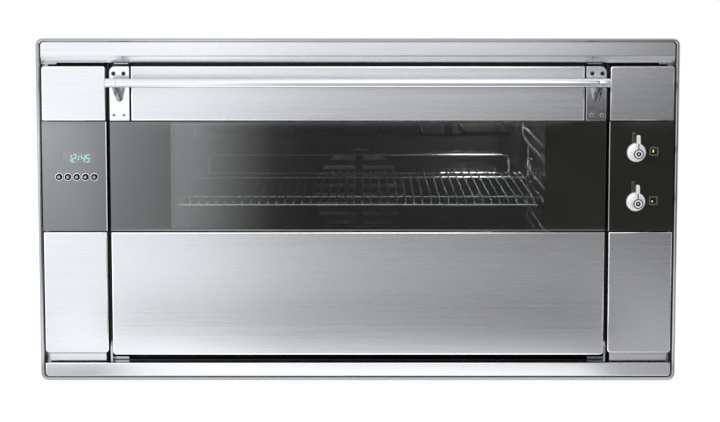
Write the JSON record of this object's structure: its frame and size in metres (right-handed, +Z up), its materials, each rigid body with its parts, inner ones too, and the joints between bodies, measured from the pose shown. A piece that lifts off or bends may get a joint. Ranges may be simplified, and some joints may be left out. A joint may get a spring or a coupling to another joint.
{
  "type": "built-in oven",
  "caption": "Wide built-in oven with a drop-down glass door under a bar handle, a clock column and a knob column.",
  "frame": {"origin": "under the middle of the whole oven, on the plane that it stands on", "axes": "+X to the right of somebody facing the door, the door faces -Y, +Z up"},
  "size_m": [0.895, 0.6228, 0.482],
  "materials": {
    "brushed_panel": "fine horizontal brushing",
    "polished_rim": "polished stainless",
    "polished_chrome": "polished",
    "chromed_wire": "bright wire",
    "tinted_glass": "dark tinted pane",
    "backed_glass": "glass printed behind",
    "clear_glass": "clear pane",
    "display_window": "faint violet filter",
    "indicator_lens": "dark lens",
    "button_plastic": "gloss black",
    "black_moulding": "moulded",
    "dark_enamel": "gloss vitreous enamel",
    "coated_steel": "satin black coating",
    "galvanised_sheet": "galvanised",
    "motor_metal": "laminated core and zinc",
    "fan_aluminium": "pressed",
    "element_sheath": "oxidised steel sheath",
    "seal_rubber": "silicone",
    "mineral_blanket": "mineral wool",
    "white_ceramic": "unglazed"
  },
  "bodies": {
    "oven": {"base_element": "element_sheath", "blower_housing": "galvanised_sheet", "blower_motor": "motor_metal", "bottom_fascia": "brushed_panel", "casing_back": "galvanised_sheet", "casing_base": "galvanised_sheet", "casing_screws": "galvanised_sheet", "casing_sides": "galvanised_sheet", "casing_top": "galvanised_sheet", "cavity_liner": "dark_enamel", "clock_glass": "backed_glass", "clock_module": "black_moulding", "clock_window": "display_window", "door_recess": "dark_enamel", "door_seal": "seal_rubber", "duct_floor": "galvanised_sheet", "fan_cover": "dark_enamel", "fan_motor": "motor_metal", "front_chassis": "coated_steel", "front_trim": "polished_rim", "grill_element": "element_sheath", "hinge_brackets": "polished_rim", "indicator_lenses": "indicator_lens", "insulation": "mineral_blanket", "knob_glass": "backed_glass", "lamp_lens": "clear_glass", "left_lower_panel": "brushed_panel", "left_upper_panel": "brushed_panel", "oven_lamp": "white_ceramic", "plinth_strips": "brushed_panel", "right_lower_panel": "brushed_panel", "right_upper_panel": "brushed_panel", "ring_element": "element_sheath", "selector_switch": "black_moulding", "side_racks": "chromed_wire", "switch_carrier": "coated_steel", "terminal_block": "white_ceramic", "thermostat": "black_moulding", "thermostat_probe": "element_sheath", "top_fascia": "brushed_panel"},
    "door": {"door_outer_glass": "tinted_glass", "door_inner_glass": "clear_glass", "door_top_strip": "brushed_panel", "door_lower_panel": "brushed_panel", "door_frame": "coated_steel", "handle_plates": "brushed_panel", "handle_struts": "polished_chrome", "handle_bar": "polished_chrome", "handle_caps": "polished_chrome", "hinge_plates": "polished_rim"},
    "shelf": {"wire_shelf": "chromed_wire"},
    "fan": {"convection_fan": "fan_aluminium"},
    "blower": {"blower_wheel": "fan_aluminium"},
    "thermostat_knob": {"thermostat_knob": "polished_chrome"},
    "selector_knob": {"selector_knob": "polished_chrome"},
    "button_1": {"clock_button_1": "button_plastic"},
    "button_2": {"clock_button_2": "button_plastic"},
    "button_3": {"clock_button_3": "button_plastic"},
    "button_4": {"clock_button_4": "button_plastic"},
    "button_5": {"clock_button_5": "button_plastic"}
  },
  "joints": [
    {"name": "door_hinge", "type": "hinge", "parent": "oven", "child": "door", "pos_m": [0, -0.2446, 0.0455], "axis": [1, 0, 0], "range_deg": [0, 90], "stiffness_Nm_per_rad": 9, "springref_deg": -8.59},
    {"name": "shelf_slide", "type": "slide", "parent": "oven", "child": "shelf", "axis": [0, -1, 0], "range_m": [0, 0.3]},
    {"name": "fan_spin", "type": "hinge", "parent": "oven", "child": "fan", "pos_m": [0, 0.2299, 0.209], "axis": [0, 1, 0], "continuous": true},
    {"name": "blower_spin", "type": "hinge", "parent": "oven", "child": "blower", "pos_m": [0, 0.0714, 0.432], "axis": [1, 0, 0], "continuous": true},
    {"name": "thermostat_turn", "type": "hinge", "parent": "oven", "child": "thermostat_knob", "pos_m": [0.3887, -0.2586, 0.3233], "axis": [0, 1, 0], "range_deg": [0, 270]},
    {"name": "selector_turn", "type": "hinge", "parent": "oven", "child": "selector_knob", "pos_m": [0.3887, -0.2586, 0.254], "axis": [0, 1, 0], "range_deg": [0, 315]},
    {"name": "button_1_press", "type": "slide", "parent": "oven", "child": "button_1", "axis": [0, 1, 0], "range_m": [0, 0.0012], "stiffness_N_per_m": 800, "springref_m": -0.0006},
    {"name": "button_2_press", "type": "slide", "parent": "oven", "child": "button_2", "axis": [0, 1, 0], "range_m": [0, 0.0012], "stiffness_N_per_m": 800, "springref_m": -0.0006},
    {"name": "button_3_press", "type": "slide", "parent": "oven", "child": "button_3", "axis": [0, 1, 0], "range_m": [0, 0.0012], "stiffness_N_per_m": 800, "springref_m": -0.0006},
    {"name": "button_4_press", "type": "slide", "parent": "oven", "child": "button_4", "axis": [0, 1, 0], "range_m": [0, 0.0012], "stiffness_N_per_m": 800, "springref_m": -0.0006},
    {"name": "button_5_press", "type": "slide", "parent": "oven", "child": "button_5", "axis": [0, 1, 0], "range_m": [0, 0.0012], "stiffness_N_per_m": 800, "springref_m": -0.0006}
  ],
  "couplings": [
    {"joint": "shelf_slide", "follows": "door_hinge", "m_per_rad": 0.19}
  ]
}
